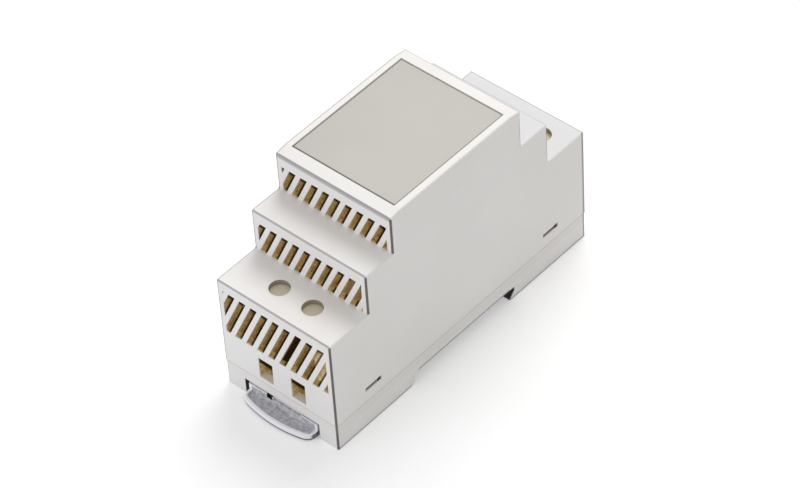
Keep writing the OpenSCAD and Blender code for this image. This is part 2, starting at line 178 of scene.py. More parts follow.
class Nodes:
    """A small writer of node trees."""

    def __init__(self, owner: Union[bpy.types.Material, bpy.types.World]) -> None:
        """Opens the owner's node tree.

        Args:
            owner: The material or world.
        """
        owner.use_nodes = True
        self.tree = owner.node_tree

    def node(self, kind: str, **settings: object) -> bpy.types.Node:
        """Adds a node and sets its properties.

        Args:
            kind: The node's Blender type.
            settings: Its properties.

        Returns:
            The new node.
        """
        made = self.tree.nodes.new(kind)
        for name, value in settings.items():
            setattr(made, name, value)
        return made

    def put(self, target: Socket, value: Union[Value, Sequence[float]]) -> None:
        """Links a socket to target, or sets target's own value."""
        if isinstance(value, bpy.types.NodeSocket):
            self.tree.links.new(value, target)
        elif isinstance(value, (int, float)):
            target.default_value = value
        else:
            target.default_value = tuple(value) + (1.0,) * (len(target.default_value) - len(value))

    def math(self, operation: str, *values: Value) -> Socket:
        """Adds a Math node.

        Args:
            operation: Blender's name of the operation.
            values: Its inputs, as sockets or numbers.

        Returns:
            The result's socket.
        """
        made = self.node("ShaderNodeMath", operation=operation)
        for target, value in zip(made.inputs, values):
            self.put(target, value)
        return made.outputs[0]

    def both(self, *masks: Value) -> Value:
        """Multiplies masks, so that all of them have to hold."""
        return reduce(lambda a, b: self.math("MULTIPLY", a, b), masks)

    def either(self, *masks: Value) -> Value:
        """Takes the greatest of some masks, so that any of them may hold."""
        return reduce(lambda a, b: self.math("MAXIMUM", a, b), masks)


class Graph(Nodes):
    """A writer of one material round its Principled shader."""

    def __init__(self, name: str) -> None:
        """Starts a material.

        Args:
            name: The material's name.
        """
        self.material = bpy.data.materials.new(name)
        super().__init__(self.material)
        self.shader = self.tree.nodes["Principled BSDF"]
        self._point: Optional[Socket] = None

    def ramp(self, value: Value, low: float, high: float) -> Socket:
        """Turns a value smoothly into 0 at low and 1 at high, whichever of them is the greater."""
        flip = low > high
        made = self.node("ShaderNodeMapRange", interpolation_type="SMOOTHSTEP")
        ends = (min(low, high), max(low, high), 1.0 if flip else 0.0, 0.0 if flip else 1.0)
        for target, number in zip(made.inputs, (value, *ends)):
            self.put(target, number)
        return made.outputs[0]

    def over(self, value: Value, limit: Value) -> Socket:
        """Writes the mask of a value that is greater than limit."""
        return self.math("GREATER_THAN", value, limit)

    def under(self, value: Value, limit: Value) -> Socket:
        """Writes the mask of a value that is less than limit."""
        return self.math("LESS_THAN", value, limit)

    def off(self, value: Value, middle: float = 0.0) -> Socket:
        """Gives how far a value lies from middle, on either side."""
        return self.math("ABSOLUTE", self.math("SUBTRACT", value, middle) if middle else value)

    def distance(self, x: Value, y: Value) -> Socket:
        """Gives the length of a level vector."""
        flat = self.node("ShaderNodeCombineXYZ")
        self.put(flat.inputs[0], x)
        self.put(flat.inputs[1], y)
        length = self.node("ShaderNodeVectorMath", operation="LENGTH")
        self.put(length.inputs[0], flat.outputs[0])
        return length.outputs["Value"]

    def mix(self, factor: Value, a: Union[Socket, Colour], b: Union[Socket, Colour]) -> Socket:
        """Adds a colour Mix node.

        Args:
            factor: How much of b is taken.
            a: The first colour.
            b: The second colour.

        Returns:
            The mixed colour's socket.
        """
        made = self.node("ShaderNodeMix", data_type="RGBA", blend_type="MIX")
        self.put(made.inputs["Factor"], factor)
        self.put(made.inputs[6], a)
        self.put(made.inputs[7], b)
        return made.outputs[2]

    def point(self) -> Socket:
        """Gives the Object coordinates, made once."""
        if self._point is None:
            self._point = self.node("ShaderNodeTexCoord").outputs["Object"]
        return self._point

    def split(self, vector: Socket) -> Triple:
        """Gives the X, Y and Z of a vector."""
        made = self.node("ShaderNodeSeparateXYZ")
        self.put(made.inputs[0], vector)
        return tuple(made.outputs)

    def place(self) -> Triple:
        """Gives the X, Y and Z of the Object coordinates."""
        return self.split(self.point())

    def facing(self) -> Triple:
        """Gives the X, Y and Z of the true normal."""
        return self.split(self.node("ShaderNodeNewGeometry").outputs["True Normal"])

    def noise(self, scale: float, detail: float = 2.0, roughness: float = 0.5) -> Socket:
        """Adds a noise pattern on the Object coordinates.

        Args:
            scale: Waves in a metre.
            detail: Octaves added.
            roughness: Strength of the finer octaves.

        Returns:
            The pattern's value, from 0 to 1.
        """
        made = self.node("ShaderNodeTexNoise")
        self.put(made.inputs["Vector"], self.point())
        self.put(made.inputs["Scale"], scale)
        self.put(made.inputs["Detail"], detail)
        self.put(made.inputs["Roughness"], roughness)
        return made.outputs["Fac"]

    def surface(self, values: dict[str, Union[Value, Sequence[float]]]) -> None:
        """Sets or links the shader's own sockets by name."""
        for name, value in values.items():
            self.put(self.shader.inputs[name], value)

    def grain(self, height: Socket, strength: float, distance: float = 0.02 * MM) -> None:
        """Gives the surface a fine relief.

        Args:
            height: The pattern's height.
            strength: Strength of the relief.
            distance: Its depth in metres.
        """
        made = self.node("ShaderNodeBump")
        self.put(made.inputs["Strength"], strength)
        self.put(made.inputs["Distance"], distance)
        self.put(made.inputs["Height"], height)
        self.put(self.shader.inputs["Normal"], made.outputs["Normal"])


@dataclass(frozen=True)
class HousingPlastic:
    """Light warm-grey moulded plastic with a fine satin grain.

    Attributes:
        base: Whether it dresses the base, with the clip's way and the fixed hook.
    """

    name: str = "housing_plastic"
    colour: Colour = linear(248, 246, 243)
    shade: Colour = linear(244, 241, 238)
    # The next three colours are painted shade of the hall, and the three after them are its painted glow.
    inside: Colour = linear(196, 178, 134)
    mottled_shade: Colour = linear(158, 132, 72)
    deep_shade: Colour = linear(62, 48, 24)
    glow: Colour = linear(112, 98, 62)
    dim_glow: Colour = linear(78, 62, 26)
    warm_glow: Colour = linear(122, 84, 56)
    # The colours below down to gap are painted shade on sunk films, edges, lines and recesses; joint is the
    # dark joint line, and way is painted shade in the clip's way.
    film_shade: Colour = linear(216, 205, 182)
    upright: Colour = linear(58, 56, 54)
    level: Colour = linear(164, 162, 160)
    band: Colour = linear(184, 182, 181)
    rim: Colour = linear(140, 130, 110)
    tread_shade: Colour = linear(230, 230, 232)
    line: Colour = linear(128, 126, 124)
    gap: Colour = linear(228, 225, 220)
    joint: Colour = linear(150, 147, 143)
    way: Colour = linear(34, 33, 36)
    roughness: float = 0.46
    base: bool = False

    def depth(self, g: Graph) -> Socket:
        """Writes how far a point lies inside the stepped outline, in metres."""
        x, y, z = g.place()
        side = g.math("SUBTRACT", SIZES.half_w, g.off(x))
        along = g.off(y)
        past = g.math("MAXIMUM", g.math("SUBTRACT", along, SIZES.flat_y), 0.0)
        slope = -SIZES.fall / (SIZES.top_y - SIZES.flat_y)
        top = g.math("MULTIPLY_ADD", past, slope, SIZES.top_z)
        steps = ((SIZES.half_l, SIZES.step2_z), (SIZES.mid_y, SIZES.step1_z), (SIZES.top_y, top))
        blocks: list[Socket] = []
        for reach, height in steps:
            near = g.math("MINIMUM", g.math("SUBTRACT", reach, along), g.math("SUBTRACT", height, z))
            blocks.append(g.math("MINIMUM", near, side))
        return g.either(*blocks)

    def films(self, g: Graph) -> tuple[Socket, Socket]:
        """Writes the mask of the films that close the screw places, which get painted shade, and of the
        painted dark line round each.
        """
        x, y, z = g.place()
        found: list[Socket] = []
        rings: list[Socket] = []
        for place_x, place_y in SIZES.knock_places():
            away = g.distance(g.math("SUBTRACT", x, place_x), g.math("SUBTRACT", y, place_y))
            within = g.under(away, SIZES.knock_r + 0.05 * MM)
            found.append(within)
            ring = g.ramp(away, SIZES.knock_r - 0.14 * MM, SIZES.knock_r - 0.04 * MM)
            rings.append(g.both(ring, within))
        sunk = g.both(g.under(z, SIZES.step2_z - 0.03 * MM), g.over(z, SIZES.step2_z - 1.4 * MM))
        return g.both(g.either(*found), sunk), g.both(g.either(*rings), sunk)

    def edges(self, g: Graph) -> tuple[Socket, Socket]:
        """Writes the masks of the rounded edges that get painted shade, first the upright ones and then the
        level ones.
        """
        nx, ny, nz = (g.off(n) for n in g.facing())
        return g.ramp(g.both(nx, ny), 0.05, 0.25), g.ramp(g.both(ny, nz), 0.18, 0.26)

    def frame_band(self, g: Graph) -> Socket:
        """Writes the mask of the soft band of painted shade under the frame's end edges."""
        _, y, z = g.place()
        level = g.ramp(z, SIZES.gap_z, SIZES.gap_z + 0.6 * MM)
        return g.both(g.over(g.off(y), SIZES.top_y - 0.3 * MM), level)

    def panel_gap(self, g: Graph) -> Socket:
        """Writes the mask of the recess that the front panel lies in."""
        x, y, z = g.place()
        flat = g.both(g.under(g.off(x), SIZES.gap_x), g.under(g.off(y), SIZES.gap_y))
        return g.both(g.over(z, SIZES.gap_z), flat)

    def slot_shadows(self, g: Graph) -> Socket:
        """Writes the mask of the painted shade that the slots' heads and right sides leave behind them.

        A place in the hall is carried along its line to the main camera's place onto each end wall, so the
        shade lines up with the slots from that view.
        """
        x, y, z = g.place()
        light_x, light_y, light_z = SIZES.light
        edge = 0.2 * MM
        shades: list[Socket] = []
        for wall in SIZES.vent_walls:
            behind = g.math("ADD", y, wall.reach)
            share = g.math("DIVIDE", -wall.reach - light_y, g.math("SUBTRACT", y, light_y))
            height = g.math("MULTIPLY_ADD", g.math("SUBTRACT", z, light_z), share, light_z)
            place = g.math("MULTIPLY_ADD", g.math("SUBTRACT", x, light_x), share, light_x)
            across = g.math("SUBTRACT", g.math("MULTIPLY_ADD", height, -SIZES.vent_lean, place), wall.start)
            turn = g.math("FLOORED_MODULO", across, SIZES.vent_pitch)
            side = g.ramp(turn, SIZES.vent_w - 0.8 * MM, SIZES.vent_w - 0.34 * MM)
            shade = g.either(side, g.ramp(height, wall.top - 1.15 * MM, wall.top - 0.6 * MM))
            if wall.window is not None:
                eaves = g.ramp(height, wall.window - 1.7 * MM, wall.window - 1.1 * MM)
                shades.append(g.both(eaves, g.under(height, wall.window + edge), g.over(behind, edge)))
            if wall.unlit is not None:
                unlit = g.ramp(g.off(across, wall.unlit), 1.25 * MM, 1.15 * MM)
                low = g.ramp(height, wall.foot + 1.4 * MM, wall.foot + 2.6 * MM)
                shade = g.either(shade, g.both(unlit, low, g.ramp(behind, 0.4 * MM, 0.9 * MM)))
            level = g.both(g.over(height, wall.foot - edge), g.under(height, wall.top + edge))
            shades.append(g.both(shade, level, g.over(behind, 0.0)))
        return g.either(*shades)

    def far_treads(self, g: Graph) -> Socket:
        """Writes the mask of the treads at the far end, which get a little painted shade."""
        up = g.over(g.facing()[2], 0.9)
        return g.both(up, g.over(g.place()[1], SIZES.top_y + 0.05 * MM))

    def outer_lines(self, g: Graph) -> Socket:
        """Writes the mask of the painted shade line round the side at +X and along the far end's top edge.
        """
        _, y, z = g.place()
        nx, _, nz = g.facing()
        seat = g.both(g.under(g.off(y), SIZES.seat_y), g.ramp(z, 0.5 * MM, 0.3 * MM))
        feet = g.ramp(z, SIZES.feet_z + 0.5 * MM, SIZES.feet_z + 0.3 * MM)
        end = g.ramp(y, SIZES.half_l - 1.05 * MM, SIZES.half_l - 0.8 * MM)
        rim = g.ramp(y, SIZES.half_l - 0.55 * MM, SIZES.half_l - 0.35 * MM)
        return g.either(g.both(g.over(nx, 0.5), g.either(feet, seat, end)), g.both(g.over(nz, 0.5), rim))

    def hook_shade(self, g: Graph) -> Socket:
        """Writes the mask of the unlit faces round the fixed hook."""
        x, y, z = g.place()
        level = g.both(g.under(z, 0.0), g.over(z, SIZES.feet_z + 0.05 * MM))
        return g.both(g.under(g.off(x), SIZES.hook_x), g.under(g.off(y, SIZES.hook_y), 3.0 * MM), level)

    def side_slits(self, g: Graph) -> Socket:
        """Writes the mask of the unlit latch slits through the long sides."""
        x, _, z = g.place()
        wall = g.ramp(g.off(x), SIZES.inner_x, SIZES.inner_x + 0.1 * MM)
        return g.both(wall, g.ramp(z, 14.0 * MM, 13.8 * MM))

    def slit_rims(self, g: Graph) -> Socket:
        """Writes the mask of the rounded rims of the latch slits, which get painted shade."""
        _, y, z = g.place()
        high = g.ramp(g.off(z, SIZES.slit_z), SIZES.slit_h + 0.31 * MM, SIZES.slit_h + 0.15 * MM)
        along = g.ramp(g.off(g.off(y), SIZES.slit_y), SIZES.slit_l + 0.25 * MM, SIZES.slit_l + 0.1 * MM)
        return g.both(g.over(g.off(g.facing()[0]), 0.9), high, along)

    def left_edge(self, g: Graph) -> Socket:
        """Writes the mask of the painted shade line along the outer edges at -X."""
        edge = g.ramp(g.place()[0], 0.65 * MM - SIZES.half_w, 0.35 * MM - SIZES.half_w)
        return g.both(g.over(g.facing()[0], -0.7), edge)

    def sills(self, g: Graph) -> Socket:
        """Writes the mask of the wire windows' sills."""
        level = g.ramp(g.off(g.place()[2], SIZES.sill_z), 0.2 * MM, 0.1 * MM)
        return g.both(g.over(g.facing()[2], 0.9), level)

    def joint_line(self, g: Graph) -> Socket:
        """Writes the mask of the line where base and cover meet."""
        return g.ramp(g.off(g.place()[2], SIZES.joint_z), 0.22 * MM, 0.1 * MM)

    def clip_way(self, g: Graph) -> Socket:
        """Writes the mask of the unlit way that the clip slides in."""
        x, y, z = g.place()
        section = g.both(g.under(g.off(x), SIZES.way_x + 0.02 * MM), g.under(z, SIZES.way_z + 0.02 * MM))
        return g.both(section, g.over(y, 0.15 * MM - SIZES.half_l), g.under(y, SIZES.way_y))

    def outside(self, g: Graph) -> Socket:
        """Writes the colour of the outer faces, with painted shade along edges, lines and hollows, and the
        dark line where the joints are.
        """
        colour = g.mix(g.ramp(g.noise(38.0, 3.0), 0.3, 0.7), self.colour, self.shade)
        upright, level = self.edges(g)
        # Painted shade on edges, lines, the frame's ends, the far treads and the hollows; the joint line is
        # the real dark joint.
        layers = [
            (self.frame_band(g), 0.85, self.band),
            (self.far_treads(g), 1.0, self.tread_shade),
            (self.left_edge(g), 0.8, self.level),
            (g.either(self.outer_lines(g), self.slit_rims(g)), 0.75, self.line),
            (upright, 0.9, self.upright),
            (level, 0.75, self.level),
            (self.joint_line(g), 0.6, self.joint),
        ]
        if self.base:
            layers += [(self.clip_way(g), 1.0, self.way), (self.hook_shade(g), 1.0, self.upright)]
        for mask, share, paint in layers:
            colour = g.mix(g.both(mask, share), colour, paint)
        return colour

    def build(self) -> bpy.types.Material:
        """Makes the material: the outer faces, and the hall seen through slots and windows in painted warm
        shade with a painted glow.
        """
        g = Graph(self.name)
        colour = self.outside(g)
        depth = self.depth(g)
        gap = self.panel_gap(g)
        within = g.math("SUBTRACT", g.ramp(depth, 0.06 * MM, 0.5 * MM), g.either(gap, self.sills(g)))
        within = g.both(g.either(within, 0.0), g.over(g.place()[2], SIZES.deck_z))
        # Painted shade: the hall's faces take a warm, mottled colour that stands in for the dim light
        # inside.
        patches = g.ramp(g.noise(1100.0, 3.0, 0.6), 0.34, 0.66)
        colour = g.mix(within, colour, g.mix(patches, self.inside, self.mottled_shade))
        # Painted shade: the colour goes dark deep in the hall, behind the slots' heads and sides, and in
        # the latch slits.
        far = g.both(g.ramp(depth, 1.7 * MM, 5.0 * MM), 0.35)
        shadowed = g.either(self.slot_shadows(g), self.side_slits(g), far)
        shadowed = g.both(shadowed, within, g.ramp(depth, 0.06 * MM, 0.2 * MM))
        colour = g.mix(shadowed, colour, self.deep_shade)
        # Painted shade, kept light, in the recess that the panel lies in.
        colour = g.mix(gap, colour, self.gap)
        # Painted shade: the sunk films are darker than the plastic, with a dark ring at their edge.
        films, rings = self.films(g)
        colour = g.mix(films, colour, self.film_shade)
        colour = g.mix(g.both(rings, 0.7), colour, self.rim)
        # Painted glow: the hall's faces shine a little, standing in for light that comes through the thin
        # walls.
        lit = g.both(within, g.math("SUBTRACT", 1.0, g.either(films, shadowed)))
        warm = g.both(g.ramp(g.noise(480.0, 2.0, 0.5), 0.5, 0.62), 0.45)
        glow = g.mix(warm, g.mix(patches, self.glow, self.dim_glow), self.warm_glow)
        fine = g.noise(5200.0, 2.0, 0.6)
        g.surface({
            "Base Color": colour,
            "Roughness": g.math("MULTIPLY_ADD", fine, 0.12, self.roughness - 0.06),
            "Specular IOR Level": 0.4,
            "Emission Color": g.mix(lit, (0.0, 0.0, 0.0), glow),
            "Emission Strength": 1.0,
        })
        g.grain(fine, 0.25)
        return g.material


@dataclass(frozen=True)
class ClipPlastic:
    """Smooth light grey plastic: a painted glow makes the lip bright, and painted shade greys the scoop.

    Attributes:
        sheen: The painted glow of the faces that have no painted shade.
        bow: Radius of the tab's bowed front, which stands furthest out at front.
        back: The Y that the faces with painted shade keep short of.
        notch_x: Middle of the notch in the wall behind the tab.
    """

    name: str = "clip_plastic"
    colour: Colour = linear(250, 249, 254)
    shade: Colour = linear(245, 244, 250)
    # The next two colours are painted shade in the scoop; dim and dark are painted shade too.
    scoop_shade: Colour = linear(222, 221, 225)
    scoop_deep_shade: Colour = linear(178, 177, 180)
    sheen: Colour = linear(66, 66, 68)
    dim: Colour = linear(96, 95, 98)
    dark: Colour = linear(42, 41, 44)
    roughness: float = 0.24
    bow: float = 35.16 * MM
    front: float = -48.9 * MM
    back: float = -42.0 * MM
    foot_z: float = -3.2 * MM
    notch_x: float = -4.2 * MM
    notch_half: float = 0.8 * MM

    def scoop(self, g: Graph) -> Socket:
        """Writes the mask of the scoop and the wall behind it."""
        x, y, z = g.place()
        away = g.distance(x, g.math("SUBTRACT", y, self.front + self.bow))
        past_lip = g.ramp(g.math("SUBTRACT", self.bow, away), 0.7 * MM, 0.95 * MM)
        past_ends = g.ramp(g.off(x), 10.1 * MM, 9.9 * MM)
        low = g.ramp(z, 0.25 * MM, 0.1 * MM)
        high = g.ramp(z, self.foot_z + 0.05 * MM, self.foot_z + 0.2 * MM)
        return g.both(past_lip, past_ends, low, high, g.under(y, self.back))

    def underside(self, g: Graph) -> Socket:
        """Writes the mask of the shaded lower edge of the tab and of its end at +X."""
        x, y, z = g.place()
        low = g.ramp(z, self.foot_z + 0.6 * MM, self.foot_z + 0.35 * MM)
        end = g.both(g.ramp(x, 10.3 * MM, 10.6 * MM), g.ramp(z, -1.65 * MM, -1.85 * MM))
        return g.both(g.either(low, end), g.under(y, self.back - 1.0 * MM))

    def notch(self, g: Graph) -> Socket:
        """Writes the mask of the shade in the notch of the wall behind the tab."""
        x, y, z = g.place()
        across = g.ramp(g.off(x, self.notch_x), self.notch_half + 0.15 * MM, self.notch_half)
        return g.both(across, g.ramp(z, -0.75 * MM, -0.6 * MM), g.under(y, self.back - 1.5 * MM))

    def build(self) -> bpy.types.Material:
        """Makes the material."""
        g = Graph(self.name)
        scoop, under, notch = self.scoop(g), self.underside(g), self.notch(g)
        scoop_mottle = g.ramp(g.noise(900.0, 4.0, 0.65), 0.36, 0.64)
        colour = g.mix(g.ramp(g.noise(60.0, 2.0), 0.3, 0.7), self.colour, self.shade)
        # Painted shade: the scoop and the wall behind it are greyed, with a mottle.
        colour = g.mix(scoop, colour, g.mix(scoop_mottle, self.scoop_shade, self.scoop_deep_shade))
        colour = g.mix(under, colour, self.dim)
        fine = g.noise(3800.0, 2.0, 0.6)
        rough = g.math("MULTIPLY_ADD", fine, 0.08, self.roughness - 0.04)
        g.surface({
            "Base Color": g.mix(notch, colour, self.dark),
            "Roughness": g.math("MULTIPLY_ADD", scoop, 0.2, rough),
            # Painted glow on every face outside the scoop, the lower edge and the notch.
            "Emission Color": g.mix(g.either(scoop, under, notch), self.sheen, (0.0, 0.0, 0.0)),
            "Emission Strength": 1.0,
            "Coat Weight": 1.0,
            "Coat Roughness": 0.1,
        })
        g.grain(fine, 0.08)
        return g.material


@dataclass(frozen=True)
class PanelPlastic:
    """Grey moulded plastic with a fine grain, and a dark line of painted shade along its edge in the gap
    round it.
    """

    name: str = "panel_plastic"
    colour: Colour = linear(199, 196, 190)
    shade: Colour = linear(196, 192, 186)
    # Painted shade on the panel's edge beside the gap.
    gap: Colour = linear(98, 94, 88)
    roughness: float = 0.5
    half_w: float = 15.45 * MM
    half_l: float = 18.85 * MM

    def rim(self, g: Graph) -> Socket:
        """Writes the mask of the panel's outermost edge, at +X and at the clip end, which gets painted
        shade.
        """
        x, y, _ = g.place()
        right = g.ramp(g.math("SUBTRACT", self.half_w, x), 0.3 * MM, 0.14 * MM)
        return g.either(right, g.ramp(g.math("ADD", y, self.half_l), 0.55 * MM, 0.32 * MM))

    def build(self) -> bpy.types.Material:
        """Makes the material."""
        g = Graph(self.name)
        colour = g.mix(g.ramp(g.noise(45.0, 3.0), 0.3, 0.7), self.colour, self.shade)
        fine = g.noise(4200.0, 2.0, 0.6)
        g.surface({
            "Base Color": g.mix(self.rim(g), colour, self.gap),
            "Roughness": g.math("MULTIPLY_ADD", fine, 0.1, self.roughness - 0.05),
        })
        g.grain(fine, 0.3)
        return g.material


@dataclass(frozen=True)
class SpringSteel:
    """Bright drawn wire with fine lines along it."""

    name: str = "spring_steel"
    colour: Colour = linear(196, 197, 200)
    shade: Colour = linear(168, 170, 176)
    roughness: float = 0.28

    def build(self) -> bpy.types.Material:
        """Makes the material."""
        g = Graph(self.name)
        lines = g.noise(2600.0, 3.0)
        g.surface({
            "Base Color": g.mix(lines, self.colour, self.shade),
            "Metallic": 1.0,
            "Roughness": g.math("MULTIPLY_ADD", lines, 0.15, self.roughness - 0.07),
        })
        return g.material


def dress(obj: bpy.types.Object, material: bpy.types.Material) -> None:
    """Gives an object one material."""
    obj.data.materials.clear()
    obj.data.materials.append(material)


class Pick(Enum):
    """What is selected in edit mode."""

    POINTS = "VERT"
    EDGES = "EDGE"
    FACES = "FACE"


class Workpiece:
    """One mesh shaped with the modelling operators. Its sizes are in millimetres."""

    def __init__(self, obj: bpy.types.Object, name: str) -> None:
        """Takes an object, and puts its place and size into its mesh.

        Args:
            obj: The object.
            name: Its new name.
        """
        self.obj = obj
        obj.name = name
        obj.data.name = name
        self.focus()
        bpy.ops.object.transform_apply(location=True, rotation=True, scale=True)

    @classmethod
    def block(cls, name: str, low: Point, high: Point) -> "Workpiece":
        """Adds a block between two corners.

        Args:
            name: The object's name.
            low: The lowest corner.
            high: The highest corner.

        Returns:
            The workpiece.
        """
        bpy.ops.object.select_all(action="DESELECT")
        middle = [(a + b) / 2 * MM for a, b in zip(low, high)]
        extent = [(b - a) * MM for a, b in zip(low, high)]
        bpy.ops.mesh.primitive_cube_add(size=1.0, location=middle, scale=extent)
        return cls(bpy.context.object, name)

    def focus(self) -> None:
        """Makes this the only selected object."""
        bpy.ops.object.select_all(action="DESELECT")
        self.obj.select_set(True)
        bpy.context.view_layer.objects.active = self.obj

    def edit(self, pick: Pick, test: Optional[Test] = None) -> "Workpiece":
        """Opens edit mode and selects by place.

        Args:
            pick: What is selected.
            test: Takes an element's middle in millimetres and its normal, or an edge's direction.
                None takes all.

        Returns:
            The workpiece.
        """
        self.focus()
        bpy.ops.object.mode_set(mode="EDIT")
        bpy.ops.mesh.select_mode(type=pick.value)
        bpy.ops.mesh.select_all(action="SELECT" if test is None else "DESELECT")
        if test is None:
            return self
        mesh = bmesh.from_edit_mesh(self.obj.data)
        if pick is Pick.FACES:
            for face in mesh.faces:
                face.select_set(test(face.calc_center_median() / MM, face.normal))
        elif pick is Pick.EDGES:
            for edge in mesh.edges:
                a, b = (v.co for v in edge.verts)
                edge.select_set(test((a + b) / (2 * MM), (b - a).normalized()))
        else:
            for point in mesh.verts:
                point.select_set(test(point.co / MM, point.normal))
        bmesh.update_edit_mesh(self.obj.data)
        return self

    def cut(self, place: Point, normal: Point) -> None:
        """Cuts new edges along a plane."""
        self.edit(Pick.FACES)
        bpy.ops.mesh.bisect(plane_co=[p * MM for p in place], plane_no=normal)
        self.close()

    def move(self, way: Point) -> None:
        """Moves what is selected."""
        bpy.ops.transform.translate(value=[w * MM for w in way])
        self.close()

    def extrude(self, way: Point) -> None:
        """Extrudes the selected faces."""
        bpy.ops.mesh.extrude_region_move(TRANSFORM_OT_translate={"value": [w * MM for w in way]})
        self.close()

    def inset(self, width: float, rise: float) -> None:
        """Insets the selected faces and raises them."""
        bpy.ops.mesh.inset(thickness=width * MM, depth=rise * MM)

    def bevel(self, width: float, steps: int) -> None:
        """Rounds the selected edges."""
        bpy.ops.mesh.bevel(offset=width * MM, segments=steps, affect="EDGES", clamp_overlap=True)
        self.close()

    def close(self) -> None:
        """Leaves edit mode."""
        bpy.ops.object.mode_set(mode="OBJECT")

    def combine(self, other: "Workpiece", way: str = "UNION") -> None:
        """Adds another workpiece to this one, or takes it away, and uses it up.

        Args:
            other: The other workpiece.
            way: Blender's name of the operation.
        """
        self.focus()
        tool = self.obj.modifiers.new("combine", "BOOLEAN")
        tool.operation = way
        tool.solver = "EXACT"
        tool.object = other.obj
        bpy.ops.object.modifier_apply(modifier=tool.name)
        bpy.data.objects.remove(other.obj)
        self.tidy()

    def tidy(self) -> None:
        """Merges points that lie on each other."""
        self.edit(Pick.POINTS)
        bpy.ops.mesh.remove_doubles(threshold=MERGE * MM)
        self.close()

    def soften(self, width: float, steps: int, limit: float = 40.0) -> "Workpiece":
        """Rounds every edge sharper than limit, in degrees."""
        self.focus()
        tool = self.obj.modifiers.new("soften", "BEVEL")
        tool.width = width * MM
        tool.segments = steps
        tool.limit_method = "ANGLE"
        tool.angle_limit = math.radians(limit)
        bpy.ops.object.modifier_apply(modifier=tool.name)
        return self

    def finish(self, material: bpy.types.Material, body: Body, slot: Slot, node: str) -> bpy.types.Object:
        """Smooths and dresses the piece, and lets it stand for its solid.

        Args:
            material: Its finish.
            body: The body that it rides on.
            slot: The record's material slot; not used.
            node: The solid that it replaces.

        Returns:
            The finished object.
        """
        self.focus()
        bpy.ops.object.shade_smooth_by_angle(angle=math.radians(SMOOTH))
        dress(self.obj, material)
        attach(self.obj, body.value)
        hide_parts(node)
        log.info("%s: %d faces", self.obj.name, len(self.obj.data.polygons))
        return self.obj


@dataclass
class Housing:
    """Cover and base: the solids' own forms, dressed in moulded plastic."""

    cover: HousingPlastic = field(default_factory=HousingPlastic)
    base: HousingPlastic = field(default_factory=lambda: HousingPlastic(name="base_plastic", base=True))

    def make(self) -> None:
        """Dresses both mouldings."""
        dress(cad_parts["cover"], self.cover.build())
        dress(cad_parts["base"], self.base.build())
        log.info("housing: cover and base dressed")


@dataclass
class FrontPanel:
    """The grey panel let into the top, with four hooks under it. Sizes in millimetres."""

    half_w: float = 15.45
    half_l: float = 18.85
    low_z: float = 52.85
    top_z: float = 54.35
    hook_w: float = 5.0
    hook_t: float = 1.2
    hook_y: float = 17.45
    hook_drop: float = 2.5
    barb: float = 0.7
    barb_h: float = 1.0
    corner_r: float = 0.35
    edge_r: float = 0.22
    finish: PanelPlastic = PanelPlastic()

    def hook(self) -> Workpiece:
        """Models one hook with its barb."""
        x, z = self.half_w / 2, self.low_z
        low = (x - self.hook_w / 2, self.hook_y - self.hook_t, z - self.hook_drop)
        hook = Workpiece.block("hook", low, (x + self.hook_w / 2, self.hook_y, z + 0.4))
        barb_z = z - self.hook_drop + self.barb_h
        hook.cut((0.0, 0.0, barb_z), (0.0, 0.0, 1.0))
        hook.edit(Pick.FACES, lambda m, n: n.y > 0.9 and m.z < barb_z).extrude((0.0, self.barb, 0.0))
        outer, foot = self.hook_y + self.barb, z - self.hook_drop
        hook.edit(Pick.EDGES, lambda m, d: abs(d.x) > 0.9 and m.y > outer - 0.05 and m.z < foot + 0.05)
        hook.move((0.0, 0.05 - self.barb, 0.0))
        return hook

    def make(self) -> None:
        """Models the panel and its hooks."""
        w, l = self.half_w, self.half_l
        panel = Workpiece.block("panel", (-w, -l, self.low_z), (w, l, self.top_z))
        panel.edit(Pick.EDGES, lambda m, d: abs(d.z) > 0.9).bevel(self.corner_r, 4)
        rim = self.top_z - 0.05
        panel.edit(Pick.EDGES, lambda m, d: abs(d.z) < 0.1 and m.z > rim).bevel(self.edge_r, 3)
        for turned in (False, True):
            for across in (0.0, -w):
                hook = self.hook()
                hook.edit(Pick.POINTS).move((across, 0.0, 0.0))
                if turned:
                    hook.edit(Pick.POINTS)
                    bpy.ops.transform.rotate(value=math.pi, orient_axis="Z", center_override=(0.0,) * 3)
                    hook.close()
                panel.combine(hook)
        panel.finish(self.finish.build(), Body.HOUSING, Slot.PANEL, "front_panel")


